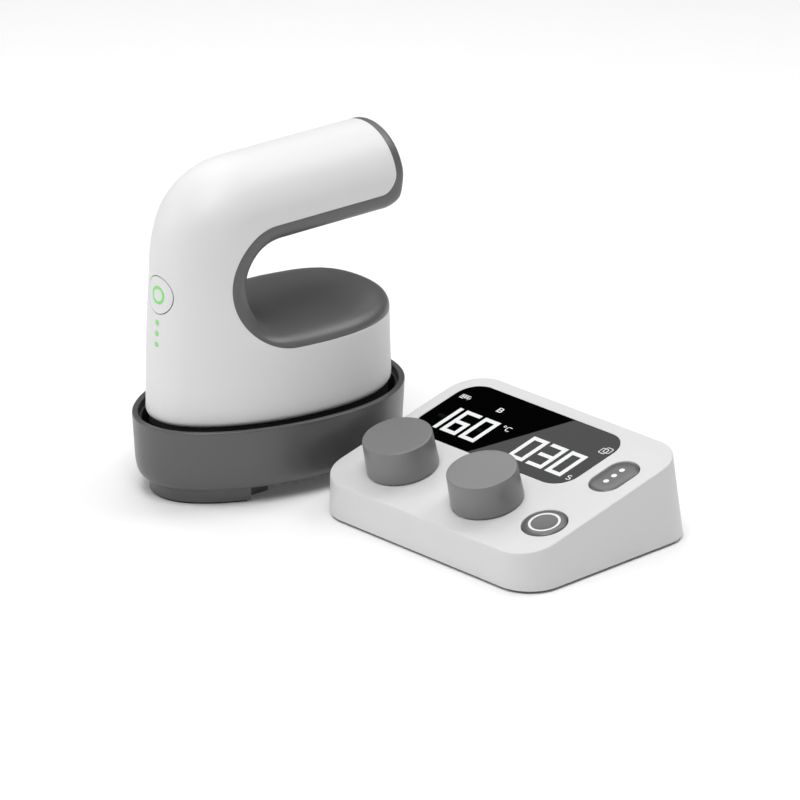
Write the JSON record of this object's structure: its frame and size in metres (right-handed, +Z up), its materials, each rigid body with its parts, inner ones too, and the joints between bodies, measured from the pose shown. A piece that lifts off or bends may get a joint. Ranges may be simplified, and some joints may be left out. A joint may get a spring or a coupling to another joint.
{
  "type": "handheld heat press set",
  "caption": "Small hand-held heat press with a C-shaped handle over an oval heated base, standing in an insulated rest tray, with a wedge-shaped desk controller with display, knobs and buttons.",
  "frame": {"origin": "centre of the footprint of the whole set, on the surface it stands on", "axes": "+Z up; +X along the press from its spine to the free end of the handle; +Y to the left of the press, away from the controller"},
  "size_m": [0.179, 0.2661, 0.1693],
  "materials": {
    "shell_white": "fine satin moulding",
    "grip_grey": "soft-touch satin",
    "tray_grey": "satin",
    "liner_black": "matt heat-proof",
    "mat_black": "silicone",
    "rubber_black": "matt",
    "steel": "zinc plated",
    "platen": "dark non-stick coat on cast aluminium",
    "element_steel": "sheathed element",
    "mica_board": "fibre board",
    "thermostat": "ceramic body",
    "pcb_green": "solder mask",
    "switch_black": "moulded",
    "nylon_natural": "moulded nylon",
    "light_green": "lit light guide",
    "controller_white": "fine satin moulding",
    "knob_grey": "satin",
    "button_grey": "satin",
    "icon_white": "lit inlay",
    "window_black": "gloss black lens",
    "lcd": "display glass",
    "brass": "turned",
    "base_grey": "satin",
    "cell_blue": "foil pouch"
  },
  "bodies": {
    "root": {"tray_shell": "tray_grey", "tray_liner": "liner_black", "rest_mat": "mat_black", "tray_foot": "tray_grey", "tray_foot_pads": "rubber_black", "tray_screws": "steel"},
    "press": {"press_shell": "shell_white", "grip_trim": "grip_grey", "deck_cover": "grip_grey", "heater_skirt": "liner_black", "heating_platen": "platen", "heating_element": "element_steel", "insulation_board": "mica_board", "platen_pillars": "steel", "thermal_cutout": "thermostat", "carrier_plate": "nylon_natural", "pillar_screws": "steel", "power_board": "pcb_green", "board_posts": "nylon_natural", "handle_frame": "steel", "button_board": "pcb_green", "power_switch": "switch_black", "board_standoffs": "nylon_natural", "progress_lights": "light_green", "cord_gland": "rubber_black"},
    "power_button_body": {"power_button": "shell_white", "power_light_ring": "light_green"},
    "controller": {"controller_housing": "controller_white", "controller_base": "base_grey", "controller_feet": "rubber_black", "controller_screws": "steel", "display_window": "window_black", "lcd_module": "lcd", "lcd_frame": "switch_black", "controller_board": "pcb_green", "temperature_encoder": "steel", "temperature_encoder_nut": "brass", "time_encoder": "steel", "time_encoder_nut": "brass", "start_switch": "switch_black", "mode_switch": "switch_black", "battery": "cell_blue", "battery_holder": "switch_black", "usb_c_port": "steel", "port_board": "pcb_green"},
    "temperature_knob_body": {"temperature_knob": "knob_grey", "temperature_shaft": "steel"},
    "time_knob_body": {"time_knob": "knob_grey", "time_shaft": "steel"},
    "start_button_body": {"start_button": "button_grey", "start_button_ring": "icon_white"},
    "mode_button_body": {"mode_button": "button_grey", "mode_button_dots": "icon_white"}
  },
  "joints": [
    {"name": "press_lift", "type": "slide", "parent": "root", "child": "press", "axis": [0, 0, 1], "range_m": [0, 0.06]},
    {"name": "power_button_press", "type": "slide", "parent": "press", "child": "power_button_body", "axis": [1, 0, 0], "range_m": [0, 0.0008], "stiffness_N_per_m": 600, "springref_m": -0.0004},
    {"name": "controller_lift", "type": "slide", "parent": "root", "child": "controller", "axis": [0, 0, 1], "range_m": [0, 0.2]},
    {"name": "temperature_turn", "type": "hinge", "parent": "controller", "child": "temperature_knob_body", "pos_m": [-0.00372, -0.0147, 0.02612], "axis": [-0.228, -0.0129, 0.9736], "continuous": true},
    {"name": "time_turn", "type": "hinge", "parent": "controller", "child": "time_knob_body", "pos_m": [-0.00036, -0.07411, 0.02612], "axis": [-0.228, -0.0129, 0.9736], "continuous": true},
    {"name": "start_button_press", "type": "slide", "parent": "controller", "child": "start_button_body", "axis": [0.228, 0.0129, -0.9736], "range_m": [0, 0.0008], "stiffness_N_per_m": 600, "springref_m": -0.0004},
    {"name": "mode_button_press", "type": "slide", "parent": "controller", "child": "mode_button_body", "axis": [0.228, 0.0129, -0.9736], "range_m": [0, 0.0008], "stiffness_N_per_m": 600, "springref_m": -0.0004}
  ]
}
